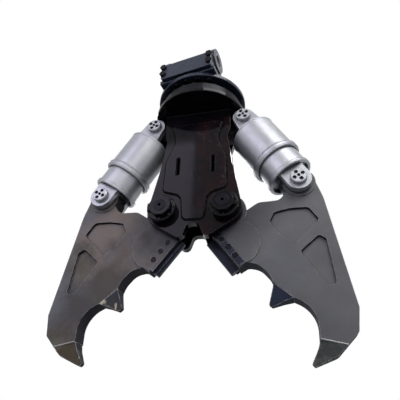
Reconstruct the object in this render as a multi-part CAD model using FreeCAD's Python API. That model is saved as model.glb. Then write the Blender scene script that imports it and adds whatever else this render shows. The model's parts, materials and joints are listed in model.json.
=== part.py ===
import FreeCAD, Part
import math
import os

# Demolition shear. All lengths are millimetres, +Z is up and the two jaws hang down.
# The work frame has its origin midway between the two jaw pivots, X to the right,
# -Y to the front and Z along the slewing axis. export() moves every piece to the
# part frame, whose origin is the centre of the stick pin bore in the bracket.
V = FreeCAD.Vector

# Fits and clearances
running_gap = 0.05        # radial gap of a turning pin or a sliding rod
fork_gap = 4.0            # the ears of a fork or clevis to the lug between them
cap_gap = 1.0             # a pin cap that stands still to the ear that turns under it
link_pin_play = 9.5       # radial play of the rod pin in the jaw lug, the open pivot
shear_gap = 1.0           # each cutting face to the middle plane
raceway_gap = 0.5         # between the two slewing rings
tube_gap = 4.0            # pressure tube to the guard around it
guard_gap = 5.0           # guard to the shroud around it

# Linkage, right-hand side, at rest with the jaws open
jaw_pivot = (170.0, 0.0)
cylinder_pivot = (284.0, 638.0)
lug_pivot = (567.0, 146.0)

# Bracket to the excavator
slew_at_rest = -10.0      # turn of the bracket on its slewing ring, degrees
stick_pin_y = 205.0
link_pin_y = -185.0
pin_bore_z = 1034.0
pin_bore_r = 40.0
ear_inner_x = 142.0
ear_thickness = 30.0
ear_boss_r = 80.0
ear_boss_extra = 10.0
bush_wall = 10.0
base_thickness = 30.0
base_half_width = 186.0
bracket_front_y = -270.0
bracket_rear_y = 285.0
front_plate_thickness = 24.0
front_plate_z = (886.0, 1012.0)
front_bolt_inset = 24.0
bracket_bolt_r = 13.0

# Slewing stack, from the frame upwards
frame_top_z = 705.0
flange_thickness = 26.0
flange_lip = 22.0         # the frame flange outside the outer ring
outer_ring_r = 270.0
race_share = 0.76         # raceway radius as a share of the outer ring
pitch_share = 0.5         # pitch radius of the inner teeth as the same share
outer_bolt_inset = 22.0
ring_height = 72.0
ring_step = 6.0
inner_ring_rise = 8.0     # the inner ring above the outer one
adapter_height = 33.0
adapter_lip = 23.0
adapter_wall_gap = 5.5    # the drum bore outside the tooth roots
disc_lip = 18.0
disc_thickness = 26.0
disc_edge = 3.0
base_bolt_inset = 30.0
screw_r = 9.0
screw_head_r = 14.0
screw_head_height = 16.0
screw_head_depth = 2.0    # screw heads below the face of the disc
ring_teeth = 54
pinion_teeth = 12
pressure_angle = math.radians(25.0)
tooth_slack = 0.4
pinion_height = 50.0
pinion_lift = 10.0
motor_share = 1.3         # motor radius as a share of the pinion pitch radius
motor_length = 185.0
motor_shaft_r = 14.0
motor_flange_step = 3.0
motor_flange_height = 14.0
swivel_core_r = 36.0
swivel_housing_r = 48.0
swivel_flange_step = 6.0
swivel_bottom_z = 540.0
port_r = 14.0

# Frame
plate_inner_y = 55.0
plate_thickness = 45.0
doubler_thickness = 12.0
web_thickness = 20.0
web_top_x = 172.0         # outer face of a side web at the flange
web_waist = (200.0, 330.0)
web_foot = (207.0, 120.0)
web_bend_z = 500.0
middle_web_z = 420.0
lower_web_z = 124.0
line_hole_r = 34.0
lug_half = 50.0           # half thickness of the frame lugs of the cylinders
frame_lug_r = 62.0
slot_centre = (103.0, 290.0)
slot_size = (28.0, 130.0)

# Main pivots
main_pin_r = 50.0
main_pin_step_r = 34.0
collar_r = 80.0
collar_height = 45.0
collar_bolt_inset = 9.0
nut_r = 62.0
nut_height = 27.0
lock_plate_thickness = 12.0
lock_plate_width = 19.0
small_bolt_r = 6.0
small_bolt_height = 6.0

# Jaw
hub_r = 110.0
lug_r = 88.0
lug_bush_wall = 14.0
main_bush_wall = 16.0
jaw_half = 44.0           # half thickness of the plain jaw plate
pad_half = 50.0           # half thickness at hub, lug and blade pad
pad_centre = (218.0, -188.0)
pad_r = 128.0
pocket_depth = 13.0
blade_edge_top = (57.0, -169.0)
blade_edge_low = (189.0, -345.0)
blade_width = 100.0
blade_thickness = 30.0
blade_bevel = 12.0
seat_offset = 30.0
seat_edge = 6.0
half_offset = 48.0
blade_bolt_offset = 72.0
blade_bolt_along = (52.0, 110.0, 168.0)
blade_bolt_r = 11.0
blade_head_r = 15.0
blade_head_height = 9.0
blade_sink_r = 16.5
blade_sink_depth = 10.0
seam_outer = (690.0, -692.0)
seam_inner = (579.0, -667.0)
tip_point = (541.0, -774.0)
tip_half = 14.0
tooth_root_low = (487.0, -484.0)
tooth_root_high = (396.0, -406.0)
tooth_point = (376.0, -511.0)
tooth_half = 12.0

# Cylinder, distances measured down its axis from the upper pin
link_pin_r = 35.0
clevis_r = 65.0
base_start = 78.0
base_end = 98.0
base_step = 4.0           # the base plate inside the edge of the shroud
base_chamfer = 24.0
shroud_wall = 7.0
shroud_end = 368.0
collar_step = 7.0
shroud_collar_length = 38.0
tube_r = 114.0
tube_wall = 24.0
tube_end = 424.0
gland_length = 34.0
gland_flange = 7.0
gland_step = 4.0
rod_r = 60.0
piston_length = 40.0
piston_gap = 2.0
guard_wall = 10.0
guard_start = 102.0
guard_end = 493.0
guard_ring_step = 6.0
guard_ring_length = 25.0
fork_start = 436.0
fork_base_end = 467.0
fork_ear_r = 68.0
fork_ear_width = 40.0     # thickness of each fork or clevis ear
cap_r = 43.6
cap_height = 25.0
cap_edge = 4.0
cap_bolt_ring = 25.0
cap_bolt_r = 6.5
cap_bolt_depth = 11.0
grease_hole_r = 6.0

# Values that follow from the ones above
race_r = outer_ring_r * race_share
ring_pitch_r = outer_ring_r * pitch_share
gear_module = 2 * ring_pitch_r / ring_teeth
tooth_addendum = 0.8 * gear_module
ring_tooth_addendum = 0.55 * gear_module
tooth_dedendum = 1.1 * gear_module
pinion_pitch_r = gear_module * pinion_teeth / 2
motor_x = ring_pitch_r - pinion_pitch_r
motor_r = pinion_pitch_r * motor_share
pinion_turn = slew_at_rest * ring_teeth / pinion_teeth
screw_ring = (race_r + ring_pitch_r + tooth_dedendum) / 2
flange_r = outer_ring_r + flange_lip
disc_r = outer_ring_r + disc_lip
adapter_r = race_r + adapter_lip
outer_bolt_ring = outer_ring_r - outer_bolt_inset
base_bolt_ring = disc_r - base_bolt_inset
guard_bore_r = tube_r + tube_gap
guard_r = guard_bore_r + guard_wall
shroud_bore_r = guard_r + guard_gap
shroud_r = shroud_bore_r + shroud_wall
base_r = shroud_r - base_step
fork_inner_y = lug_half + fork_gap
fork_outer_y = fork_inner_y + fork_ear_width
upper_cap_y = fork_outer_y + cap_gap
plate_outer_y = plate_inner_y + plate_thickness
reach = 4 * plate_outer_y     # a length that passes through every plate
lug_bush_r = link_pin_r + link_pin_play + lug_bush_wall
link_length = math.hypot(lug_pivot[0] - cylinder_pivot[0], lug_pivot[1] - cylinder_pivot[1])
cylinder_tilt = math.degrees(
    math.atan2(lug_pivot[0] - cylinder_pivot[0], cylinder_pivot[1] - lug_pivot[1])
)
blade_length = math.hypot(
    blade_edge_low[0] - blade_edge_top[0], blade_edge_low[1] - blade_edge_top[1]
)
flange_top_z = frame_top_z + flange_thickness
outer_ring_top_z = flange_top_z + ring_height
inner_ring_bottom_z = flange_top_z + ring_step
inner_ring_top_z = outer_ring_top_z + inner_ring_rise
disc_bottom_z = inner_ring_top_z + adapter_height
disc_top_z = disc_bottom_z + disc_thickness
base_top_z = disc_top_z + base_thickness
ear_outer_x = ear_inner_x + ear_thickness


def rounded_corner(before, here, after):
    """start, middle and end of the arc that rounds one corner of an outline"""
    corner = V(here[0], 0, here[1])
    back = (V(before[0], 0, before[1]) - corner).normalize()
    ahead = (V(after[0], 0, after[1]) - corner).normalize()
    half = back.getAngle(ahead) / 2
    cut = here[2] / math.tan(half)
    centre = corner + (back + ahead).normalize() * (here[2] / math.sin(half))
    middle = centre + (corner - centre).normalize() * here[2]
    return corner + back * cut, middle, corner + ahead * cut


def outline(corners):
    """closed wire in the XZ plane, each corner being x, z and a rounding radius"""
    full = [(c[0], c[1], c[2] if len(c) > 2 else 0.0) for c in corners]
    edges = []
    last = None
    first = None
    for i, here in enumerate(full):
        if here[2] > 0:
            start, middle, end = rounded_corner(full[i - 1], here, full[(i + 1) % len(full)])
        else:
            start = end = V(here[0], 0, here[1])
        if last is not None and last.distanceToPoint(start) > 1e-6:
            edges.append(Part.LineSegment(last, start).toShape())
        if here[2] > 0:
            edges.append(Part.Arc(start, middle, end).toShape())
        if first is None:
            first = start
        last = end
    if last.distanceToPoint(first) > 1e-6:
        edges.append(Part.LineSegment(last, first).toShape())
    return Part.Wire(edges)


def plate(corners, y_low, y_high):
    """a plate parallel to the jaw plane"""
    face = Part.Face(outline(corners))
    face.translate(V(0, y_low, 0))
    return face.extrude(V(0, y_high - y_low, 0))


def side_plate(corners, x_low, x_high):
    """a plate across the jaw plane, its corners being y, z and radius"""
    shape = plate(corners, -x_high, -x_low)
    shape.rotate(V(0, 0, 0), V(0, 0, 1), 90)
    return shape


def round_y(centre, radius, y_low, y_high):
    """a round bar along Y"""
    return Part.makeCylinder(radius, y_high - y_low, V(centre[0], y_low, centre[1]), V(0, 1, 0))


def round_x(y, z, radius, x_low, x_high):
    """a round bar along X"""
    return Part.makeCylinder(radius, x_high - x_low, V(x_low, y, z), V(1, 0, 0))


def round_z(x, y, radius, z_low, z_high):
    """a round bar along Z"""
    return Part.makeCylinder(radius, z_high - z_low, V(x, y, z_low))


def ring_z(outer, inner, z_low, z_high):
    """a ring about the slewing axis"""
    return round_z(0, 0, outer, z_low, z_high).cut(round_z(0, 0, inner, z_low - 1, z_high + 1))


def turned(profile):
    """a solid turned about Z from corners of radius and height"""
    points = [V(r, 0, z) for r, z in profile]
    wire = Part.makePolygon(points + [points[0]])
    return Part.Face(wire).revolve(V(0, 0, 0), V(0, 0, 1), 360)


def hex_head(radius, height):
    """a hexagon bolt head standing on z = 0"""
    points = [V(radius * math.cos(math.radians(60 * i)), radius * math.sin(math.radians(60 * i)), 0)
              for i in range(7)]
    return Part.Face(Part.makePolygon(points)).extrude(V(0, 0, height))


def facing(shape, position, direction):
    """put a shape made along +Z at a position, looking along a direction"""
    placed = shape.copy()
    placed.Placement = FreeCAD.Placement(position, FreeCAD.Rotation(V(0, 0, 1), direction))
    return placed


def half_turn(shape):
    """the same piece on the other side of the slewing axis"""
    turned_shape = shape.copy()
    turned_shape.rotate(V(0, 0, 0), V(0, 0, 1), 180)
    return turned_shape


def pair(shape):
    """a piece and its half-turned twin"""
    return [shape, half_turn(shape)]


def front_and_rear(shape):
    """a piece and its mirror in the jaw plane"""
    return [shape, shape.mirror(V(0, 0, 0), V(0, 1, 0))]


def four(shape):
    """a piece on both pivots, front and rear"""
    return pair(front_and_rear(shape)[0]) + pair(front_and_rear(shape)[1])


# Bracket

def ear_outline():
    """outline of one bracket ear, as y, z and radius"""
    dip_z = pin_bore_z - 52
    boss_top = pin_bore_z + 50
    return [
        (bracket_front_y, base_top_z),
        (bracket_front_y, front_plate_z[1], 12),
        (link_pin_y - 40, boss_top),
        (link_pin_y + 20, boss_top),
        (link_pin_y + 90, dip_z, 60),
        (stick_pin_y - 90, dip_z, 60),
        (stick_pin_y - 20, boss_top),
        (stick_pin_y + 55, pin_bore_z + 20),
        (bracket_rear_y, pin_bore_z - 70, 30),
        (bracket_rear_y, base_top_z),
    ]


def bracket_ear():
    """right-hand ear with its two pin bosses"""
    ear = side_plate(ear_outline(), ear_inner_x, ear_outer_x)
    for y in (stick_pin_y, link_pin_y):
        ear = ear.fuse(round_x(y, pin_bore_z, ear_boss_r, ear_inner_x, ear_outer_x + ear_boss_extra))
    for y in (stick_pin_y, link_pin_y):
        ear = ear.cut(round_x(y, pin_bore_z, pin_bore_r + bush_wall, 0, ear_outer_x * 2))
    return ear.removeSplitter()


def ear_bushes():
    """the four hardened bushes of the pin bores"""
    bushes = []
    for y in (stick_pin_y, link_pin_y):
        for x in (ear_inner_x, -ear_outer_x - ear_boss_extra):
            end = x + ear_thickness + ear_boss_extra
            bush = round_x(y, pin_bore_z, pin_bore_r + bush_wall, x, end)
            bushes.append(bush.cut(round_x(y, pin_bore_z, pin_bore_r, x - 1, end + 1)))
    return bushes


def bracket_base():
    """base plate under the ears"""
    corners = [
        (bracket_front_y, -base_half_width, 0),
        (bracket_rear_y, -base_half_width, 40),
        (bracket_rear_y, base_half_width, 40),
        (bracket_front_y, base_half_width, 0),
    ]
    base = plate([(c[1], c[0], c[2]) for c in corners], -base_top_z, -disc_top_z)
    base.rotate(V(0, 0, 0), V(1, 0, 0), -90)
    return base.cut(round_z(0, 0, swivel_core_r, disc_top_z - 1, base_top_z + 1))


def front_bolt_places():
    """the four corners of the bracket front plate"""
    places = []
    for x in (-ear_inner_x - ear_thickness / 2, ear_inner_x + ear_thickness / 2):
        for z in (front_plate_z[0] + front_bolt_inset + 18, front_plate_z[1] - front_bolt_inset):
            places.append((x, z))
    return places


def bracket_front_plate():
    """plate that closes the front of the ears"""
    low, high = front_plate_z
    corners = [
        (-ear_outer_x, low, 14),
        (ear_outer_x, low, 14),
        (ear_outer_x, high, 14),
        (-ear_outer_x, high, 14),
    ]
    return plate(corners, bracket_front_y - front_plate_thickness, bracket_front_y)


def front_plate_bolts():
    """heads of the four bolts on the front plate"""
    head = hex_head(bracket_bolt_r * 1.7, bracket_bolt_r)
    face = bracket_front_y - front_plate_thickness
    return [facing(head, V(x, face, z), V(0, -1, 0)) for x, z in front_bolt_places()]


def bracket_rear_bar():
    """low bar between the ears at the rear"""
    return Part.makeBox(ear_inner_x * 2, web_thickness, base_thickness,
                        V(-ear_inner_x, bracket_rear_y - web_thickness, base_top_z))


def bracket_cross_tube():
    """stiffening tube between the ears"""
    y = stick_pin_y - 130
    z = base_top_z + 42
    tube = round_x(y, z, 36, -ear_inner_x, ear_inner_x)
    return tube.cut(round_x(y, z, 26, -ear_inner_x - 1, ear_inner_x + 1))


def slew_disc():
    """round disc on top of the slewing ring"""
    disc = turned([
        (swivel_core_r, disc_bottom_z),
        (disc_r - disc_edge, disc_bottom_z),
        (disc_r, disc_bottom_z + disc_edge),
        (disc_r, disc_top_z - disc_edge),
        (disc_r - disc_edge, disc_top_z),
        (swivel_core_r, disc_top_z),
    ])
    return disc.cut(Part.makeCompound(inner_ring_screws()))


def inner_ring_screws():
    """sunk screws that hold the disc to the inner slewing ring"""
    head_top = disc_top_z - screw_head_depth
    head_low = head_top - screw_head_height
    shank_low = inner_ring_top_z - ring_height / 2
    screws = []
    for i in range(12):
        turn = math.radians(30 * i + 15)
        x = screw_ring * math.cos(turn)
        y = screw_ring * math.sin(turn)
        shank = round_z(x, y, screw_r, shank_low, head_top - 1)
        screws.append(shank.fuse(round_z(x, y, screw_head_r, head_low, head_top)))
    return screws


def base_bolts():
    """bolts from below that hold the base plate to the disc"""
    bolts = []
    head = hex_head(bracket_bolt_r * 1.3, bracket_bolt_r)
    for turn in (58, 74, 90, 106, 122, 238, 254, 270, 286, 302):
        x = base_bolt_ring * math.cos(math.radians(turn))
        y = base_bolt_ring * math.sin(math.radians(turn))
        bolts.append(facing(head, V(x, y, disc_bottom_z), V(0, 0, -1)))
    return bolts


# Slewing drive

def involute(angle):
    return math.tan(angle) - angle


def gear_wire(teeth, tip_r, root_r, slack):
    """closed outline of a spur gear about Z with involute flanks"""
    pitch_r = gear_module * teeth / 2
    base_r_here = pitch_r * math.cos(pressure_angle)
    half_pitch = math.pi / (2 * teeth) - slack / pitch_r
    points = []
    flank_start = max(root_r, base_r_here + 0.01)
    for tooth in range(teeth):
        centre = 2 * math.pi * tooth / teeth
        flank = []
        for step in range(4):
            r = flank_start + (tip_r - flank_start) * step / 3
            half = half_pitch + involute(pressure_angle) - involute(math.acos(base_r_here / r))
            flank.append((r, half))
        if root_r < flank_start:
            flank.insert(0, (root_r, flank[0][1]))
        for r, half in flank:
            points.append(V(r * math.cos(centre - half), r * math.sin(centre - half), 0))
        for r, half in reversed(flank):
            points.append(V(r * math.cos(centre + half), r * math.sin(centre + half), 0))
    return Part.makePolygon(points + [points[0]])


def toothed_hole():
    """the hollow of the inner ring, with its internal teeth"""
    wire = gear_wire(ring_teeth, ring_pitch_r + tooth_dedendum, ring_pitch_r - ring_tooth_addendum, 0.0)
    wire.translate(V(0, 0, inner_ring_bottom_z - 1))
    return Part.Face(wire).extrude(V(0, 0, inner_ring_top_z - inner_ring_bottom_z + 2))


def slew_inner_ring():
    """inner ring of the slewing bearing, fixed to the bracket"""
    ring = round_z(0, 0, race_r - raceway_gap, inner_ring_bottom_z, inner_ring_top_z)
    ring = ring.cut(toothed_hole())
    return ring.cut(Part.makeCompound(inner_ring_screws()))


def slew_adapter():
    """spacer drum between the inner ring and the disc"""
    bore = ring_pitch_r + tooth_dedendum + adapter_wall_gap
    drum = ring_z(adapter_r, bore, inner_ring_top_z, disc_bottom_z)
    return drum.cut(Part.makeCompound(inner_ring_screws()))


def slew_outer_ring():
    """outer ring of the slewing bearing, fixed to the frame"""
    low = flange_top_z
    middle = flange_top_z + ring_height / 2
    high = outer_ring_top_z
    return turned([
        (race_r, low),
        (outer_ring_r, low),
        (outer_ring_r, middle - 5),
        (outer_ring_r - 5, middle),
        (outer_ring_r - 5, high - 3),
        (outer_ring_r - 8, high),
        (race_r, high),
    ])


def outer_ring_bolts():
    """ring of bolt heads on top of the outer ring"""
    bolts = []
    head = hex_head(bracket_bolt_r, bracket_bolt_r * 0.75)
    for i in range(24):
        turn = math.radians(15 * i)
        place = V(outer_bolt_ring * math.cos(turn), outer_bolt_ring * math.sin(turn),
                  outer_ring_top_z)
        bolts.append(facing(head, place, V(0, 0, 1)))
    return bolts


def slew_pinion():
    """pinion and shaft of the slewing motor, turned to mesh at rest"""
    low = flange_top_z + pinion_lift
    wire = gear_wire(pinion_teeth, pinion_pitch_r + tooth_addendum,
                     pinion_pitch_r - tooth_dedendum, tooth_slack)
    wire.rotate(V(0, 0, 0), V(0, 0, 1), pinion_turn)
    wire.translate(V(motor_x, 0, low))
    gear = Part.Face(wire).extrude(V(0, 0, pinion_height))
    shaft_low = frame_top_z - motor_flange_height
    return gear.fuse(round_z(motor_x, 0, motor_shaft_r, shaft_low, low + pinion_height + 4))


def slew_motor():
    """hydraulic slewing motor under the frame flange"""
    low = frame_top_z - motor_length
    shoulder = frame_top_z - motor_flange_height
    shaft_hole_r = motor_shaft_r + running_gap
    motor = round_z(motor_x, 0, motor_r, low + 20, shoulder)
    motor = motor.fuse(round_z(motor_x, 0, motor_r - 8, low, low + 21))
    motor = motor.fuse(round_z(motor_x, 0, motor_r + motor_flange_step, shoulder, frame_top_z))
    return motor.cut(round_z(motor_x, 0, shaft_hole_r, shoulder, frame_top_z + 1))


def swivel_housing():
    """housing of the oil swivel, fixed in the frame"""
    bore_r = swivel_core_r + running_gap
    shoulder = frame_top_z - motor_flange_height
    top = flange_top_z + 20
    housing = turned([
        (bore_r, swivel_bottom_z),
        (swivel_housing_r, swivel_bottom_z),
        (swivel_housing_r, shoulder),
        (swivel_housing_r + swivel_flange_step, shoulder),
        (swivel_housing_r + swivel_flange_step, frame_top_z),
        (swivel_housing_r, frame_top_z),
        (swivel_housing_r, top),
        (bore_r, top),
    ])
    for height in (swivel_bottom_z + 40, swivel_bottom_z + 80):
        port = round_x(0, height, port_r, -swivel_housing_r - 10, swivel_housing_r + 10)
        housing = housing.fuse(port)
    return housing.cut(round_z(0, 0, bore_r, swivel_bottom_z - 1, top + 1))


def swivel_core():
    """core of the oil swivel, fixed to the bracket, with its top ports"""
    port_ring = swivel_core_r * 0.55
    core = round_z(0, 0, swivel_core_r, swivel_bottom_z - 6, base_top_z + 22)
    for turn in range(4):
        direction = math.radians(90 * turn + 45)
        x = port_ring * math.cos(direction)
        y = port_ring * math.sin(direction)
        core = core.cut(round_z(x, y, port_r / 2, base_top_z + 6, base_top_z + 23))
    return core


# Frame

def frame_outline():
    """outline of a frame plate; the right half is stated and then mirrored"""
    right = [
        (30, -84, 28),
        (62, -178, 30),
        (271.6, -44, 92),
        (210, 300, 200),
        (188, web_bend_z, 50),
        (205, 560, 40),
        (205, frame_top_z),
    ]
    left = [(-c[0], *c[1:]) for c in reversed(right)]
    return right + left


def slot_cutters():
    """the two upright slots through plate and doubler"""
    half_width = slot_size[0] / 2
    half_height = slot_size[1] / 2
    cutters = []
    for x in (-slot_centre[0], slot_centre[0]):
        corners = [
            (x - half_width, slot_centre[1] - half_height, half_width - 1),
            (x + half_width, slot_centre[1] - half_height, half_width - 1),
            (x + half_width, slot_centre[1] + half_height, half_width - 1),
            (x - half_width, slot_centre[1] + half_height, half_width - 1),
        ]
        cutters.append(plate(corners, -reach, reach))
    return cutters


def frame_plate():
    """front plate of the frame with its pivot bores and slots"""
    body = plate(frame_outline(), -plate_outer_y, -plate_inner_y)
    for side in (-1, 1):
        hub = (side * jaw_pivot[0], jaw_pivot[1])
        body = body.cut(round_y(hub, main_pin_r, -reach, reach))
    return body.cut(Part.makeCompound(slot_cutters()))


def cylinder_lug():
    """right-hand frame lug that stands between the clevis ears of the cylinder"""
    x, z = cylinder_pivot
    under = (x - 0.35 * frame_lug_r, z - 0.93 * frame_lug_r)
    over = (x + 0.7 * frame_lug_r, z + 0.7 * frame_lug_r)
    corners = [
        (web_top_x, web_bend_z + 30),
        under,
        (x, z),
        over,
        (flange_r - 2 * disc_edge, frame_top_z),
        (web_top_x, frame_top_z),
    ]
    lug = plate(corners, -lug_half, lug_half)
    lug = lug.fuse(round_y(cylinder_pivot, frame_lug_r, -lug_half, lug_half))
    return lug.cut(round_y(cylinder_pivot, link_pin_r, -reach, reach)).removeSplitter()


def frame_doubler():
    """front doubler with its waved edges, between the two collars"""
    right = [
        (56, -62, 26),
        (70, 92, 60),
        (178, 128, 26),
        (176, 330, 120),
        (124, 480, 90),
        (154, 608, 12),
    ]
    left = [(-c[0], *c[1:]) for c in reversed(right)]
    body = plate(right + left, -plate_outer_y - doubler_thickness, -plate_outer_y)
    return body.cut(Part.makeCompound(slot_cutters()))


def side_web():
    """curved right-hand web between the frame plates"""
    waist_x, waist_z = web_waist
    foot_x, foot_z = web_foot
    corners = [
        (web_top_x, frame_top_z),
        (web_top_x, web_bend_z, 120),
        (waist_x, waist_z, 200),
        (foot_x, foot_z),
        (foot_x - web_thickness, foot_z),
        (waist_x - web_thickness, waist_z, 200),
        (web_top_x - web_thickness, web_bend_z, 120),
        (web_top_x - web_thickness, frame_top_z),
    ]
    return plate(corners, -plate_inner_y, plate_inner_y)


def between_side_webs(web):
    """the part of a cross web that lies between the two side webs"""
    pieces = web.cut(Part.makeCompound(pair(side_web()))).Solids
    return max(pieces, key=lambda piece: piece.Volume)


def lower_web():
    """cross web just above the two jaw hubs"""
    half = web_foot[0]
    low = lower_web_z
    high = low + web_thickness
    sag = 30
    corners = [
        (-half, low),
        (-100, low, 30),
        (-60, low - sag, 30),
        (60, low - sag, 30),
        (100, low, 30),
        (half, low),
        (half, high),
        (100, high, 30),
        (60, high - sag, 30),
        (-60, high - sag, 30),
        (-100, high, 30),
        (-half, high),
    ]
    return between_side_webs(plate(corners, -plate_inner_y, plate_inner_y))


def middle_web():
    """cross web half way up, with a hole for the oil lines"""
    half = web_waist[0]
    web = Part.makeBox(2 * half, 2 * plate_inner_y, web_thickness,
                       V(-half, -plate_inner_y, middle_web_z))
    web = web.cut(round_z(0, 0, line_hole_r, middle_web_z - 1, middle_web_z + web_thickness + 1))
    return between_side_webs(web)


def frame_flange():
    """round top flange of the frame"""
    body = turned([
        (swivel_housing_r, frame_top_z),
        (flange_r - 3, frame_top_z),
        (flange_r, frame_top_z + 3),
        (flange_r, flange_top_z - 3),
        (flange_r - 3, flange_top_z),
        (swivel_housing_r, flange_top_z),
    ])
    return body.cut(round_z(motor_x, 0, motor_shaft_r + 6, frame_top_z - 1, flange_top_z + 1))


# Main pivots

def main_pin():
    """jaw pivot pin with stepped, centre-drilled ends"""
    face = plate_outer_y + collar_height
    end = face + nut_height + 4
    pin = round_y(jaw_pivot, main_pin_r, -face, face)
    pin = pin.fuse(round_y(jaw_pivot, main_pin_step_r, -end, end))
    for side in (-1, 1):
        low = min(side * end, side * (end - 20))
        pin = pin.cut(round_y(jaw_pivot, 9, low, low + 20))
    return pin


def main_collar():
    """thick collar bolted on the frame plate around the pin"""
    low = -plate_outer_y - collar_height
    collar = round_y(jaw_pivot, collar_r, low, -plate_outer_y)
    collar = collar.cut(round_y(jaw_pivot, main_pin_r, low - 1, 0))
    rim = [e for e in collar.Edges if abs(e.BoundBox.YMin - low) < 0.01 and e.Length > 480]
    return collar.makeChamfer(5, rim)


def main_nut():
    """eight-sided nut on the pin end"""
    low = -plate_outer_y - collar_height
    points = [V(nut_r * math.cos(math.radians(45 * i + 22.5)), 0,
                nut_r * math.sin(math.radians(45 * i + 22.5))) for i in range(9)]
    nut = Part.Face(Part.makePolygon(points)).extrude(V(0, -nut_height, 0))
    nut.translate(V(jaw_pivot[0], low, jaw_pivot[1]))
    bevel = Part.makeCone(nut_r + 10, nut_r - 6, 16, V(jaw_pivot[0], low - nut_height + 16, 0),
                          V(0, -1, 0))
    body = round_y(jaw_pivot, nut_r + 10, low - nut_height + 16, low)
    nut = nut.common(bevel.fuse(body))
    return nut.cut(round_y(jaw_pivot, main_pin_step_r, low - 60, 0))


def lock_plate():
    """plate that stops the nut from turning, bearing on one flat"""
    flat = nut_r * math.cos(math.radians(22.5))
    low = -plate_outer_y - collar_height - lock_plate_thickness
    x = jaw_pivot[0] + flat
    half = 24
    corners = [
        (x, -half),
        (x + 12, -half, 8),
        (x + lock_plate_width, 0, 60),
        (x + 12, half, 8),
        (x, half),
    ]
    return plate(corners, low, low + lock_plate_thickness)


def collar_bolts():
    """small bolts of the lock plate and of the collar"""
    face = -plate_outer_y - collar_height
    head = hex_head(small_bolt_r, small_bolt_height)
    flat = nut_r * math.cos(math.radians(22.5))
    bolt_ring = collar_r - collar_bolt_inset
    bolts = []
    for z in (-14, 14):
        place = V(jaw_pivot[0] + flat + 8, face - lock_plate_thickness, z)
        bolts.append(facing(head, place, V(0, -1, 0)))
    for turn in (90, 135, 180, 225, 270):
        x = jaw_pivot[0] + bolt_ring * math.cos(math.radians(turn))
        z = bolt_ring * math.sin(math.radians(turn))
        bolts.append(facing(head, V(x, face, z), V(0, -1, 0)))
    return bolts


# Jaw

def blade_point(along, offset):
    """a point of the blade plane, along the cutting edge and behind it"""
    dx = (blade_edge_low[0] - blade_edge_top[0]) / blade_length
    dz = (blade_edge_low[1] - blade_edge_top[1]) / blade_length
    x = blade_edge_top[0] + dx * along - dz * offset
    z = blade_edge_top[1] + dz * along + dx * offset
    return (x, z)


def jaw_outline():
    """right-hand jaw plate without its two teeth"""
    heel = blade_length + 12
    return [
        (200, -56),
        (344, 42, 60),
        (462, 46, 50),
        (520, 150),
        (648, 165),
        (682, 43, 300),
        (760, -536, 14),
        (742, -640, 14),
        seam_outer,
        seam_inner,
        (583, -575, 130),
        (535, -508, 130),
        tooth_root_low,
        tooth_root_high,
        (384, -372, 90),
        (335, -312, 90),
        (*blade_point(heel, blade_width - 8), 14),
        blade_point(heel, half_offset),
        blade_point(-14, half_offset),
        (140, -70),
    ]


def upper_pocket():
    """corners of the upper lightening pocket"""
    return [
        (397, -78, 18),
        (424, -24, 26),
        (505, -8, 60),
        (600, -8, 34),
        (648, -88, 22),
        (510, -219, 16),
        (440, -150, 40),
    ]


def lower_pocket():
    """corners of the three-sided lower pocket"""
    return [
        (634, -170, 16),
        (666, -196, 20),
        (684, -424, 16),
        (640, -430, 22),
        (534, -256, 20),
    ]


def jaw_plate():
    """right-hand jaw: thick plate with pads, pockets and the blade seat"""
    body = plate(jaw_outline(), -jaw_half, jaw_half)
    pad = plate(jaw_outline(), -pad_half, pad_half)
    body = body.fuse(pad.common(round_y(pad_centre, pad_r, -pad_half, pad_half)))
    seat_back = blade_width + seat_edge
    seat = [blade_point(0, seat_offset), blade_point(blade_length, seat_offset),
            blade_point(blade_length, seat_back), blade_point(0, seat_back)]
    body = body.fuse(plate(seat, shear_gap + blade_thickness, pad_half))
    for centre, radius in ((jaw_pivot, hub_r), (lug_pivot, lug_r)):
        body = body.fuse(round_y(centre, radius, -pad_half, pad_half))
    for corners in (upper_pocket(), lower_pocket()):
        body = body.cut(plate(corners, jaw_half - pocket_depth, pad_half + 1))
        body = body.cut(plate(corners, -pad_half - 1, pocket_depth - jaw_half))
    room = [blade_point(0, -seat_offset), blade_point(blade_length, -seat_offset),
            blade_point(blade_length, blade_width), blade_point(0, blade_width)]
    body = body.cut(plate(room, shear_gap, shear_gap + blade_thickness))
    body = body.cut(round_y(jaw_pivot, main_pin_r + main_bush_wall, -reach, reach))
    body = body.cut(round_y(lug_pivot, lug_bush_r, -reach, reach))
    for along in blade_bolt_along:
        place = blade_point(along, blade_bolt_offset)
        body = body.cut(round_y(place, blade_bolt_r, -reach, reach))
        body = body.cut(round_y(place, blade_sink_r, pad_half - blade_sink_depth, reach))
        body = body.cut(round_y(place, blade_sink_r, -reach, blade_sink_depth - pad_half))
    return body.removeSplitter()


def blade():
    """right-hand shear blade, bevelled behind its cutting edge"""
    low = shear_gap
    high = shear_gap + blade_thickness
    body = plate([blade_point(0, 0), blade_point(blade_length, 0),
                  blade_point(blade_length, blade_width), blade_point(0, blade_width)], low, high)
    edge = [e for e in body.Edges
            if abs(e.CenterOfMass.y - high) < 0.1
            and abs(e.CenterOfMass.x - blade_point(blade_length / 2, 0)[0]) < 1]
    body = body.makeChamfer(blade_bevel, edge)
    for along in blade_bolt_along:
        body = body.cut(round_y(blade_point(along, blade_bolt_offset), blade_bolt_r, -reach, reach))
    return body


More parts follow.
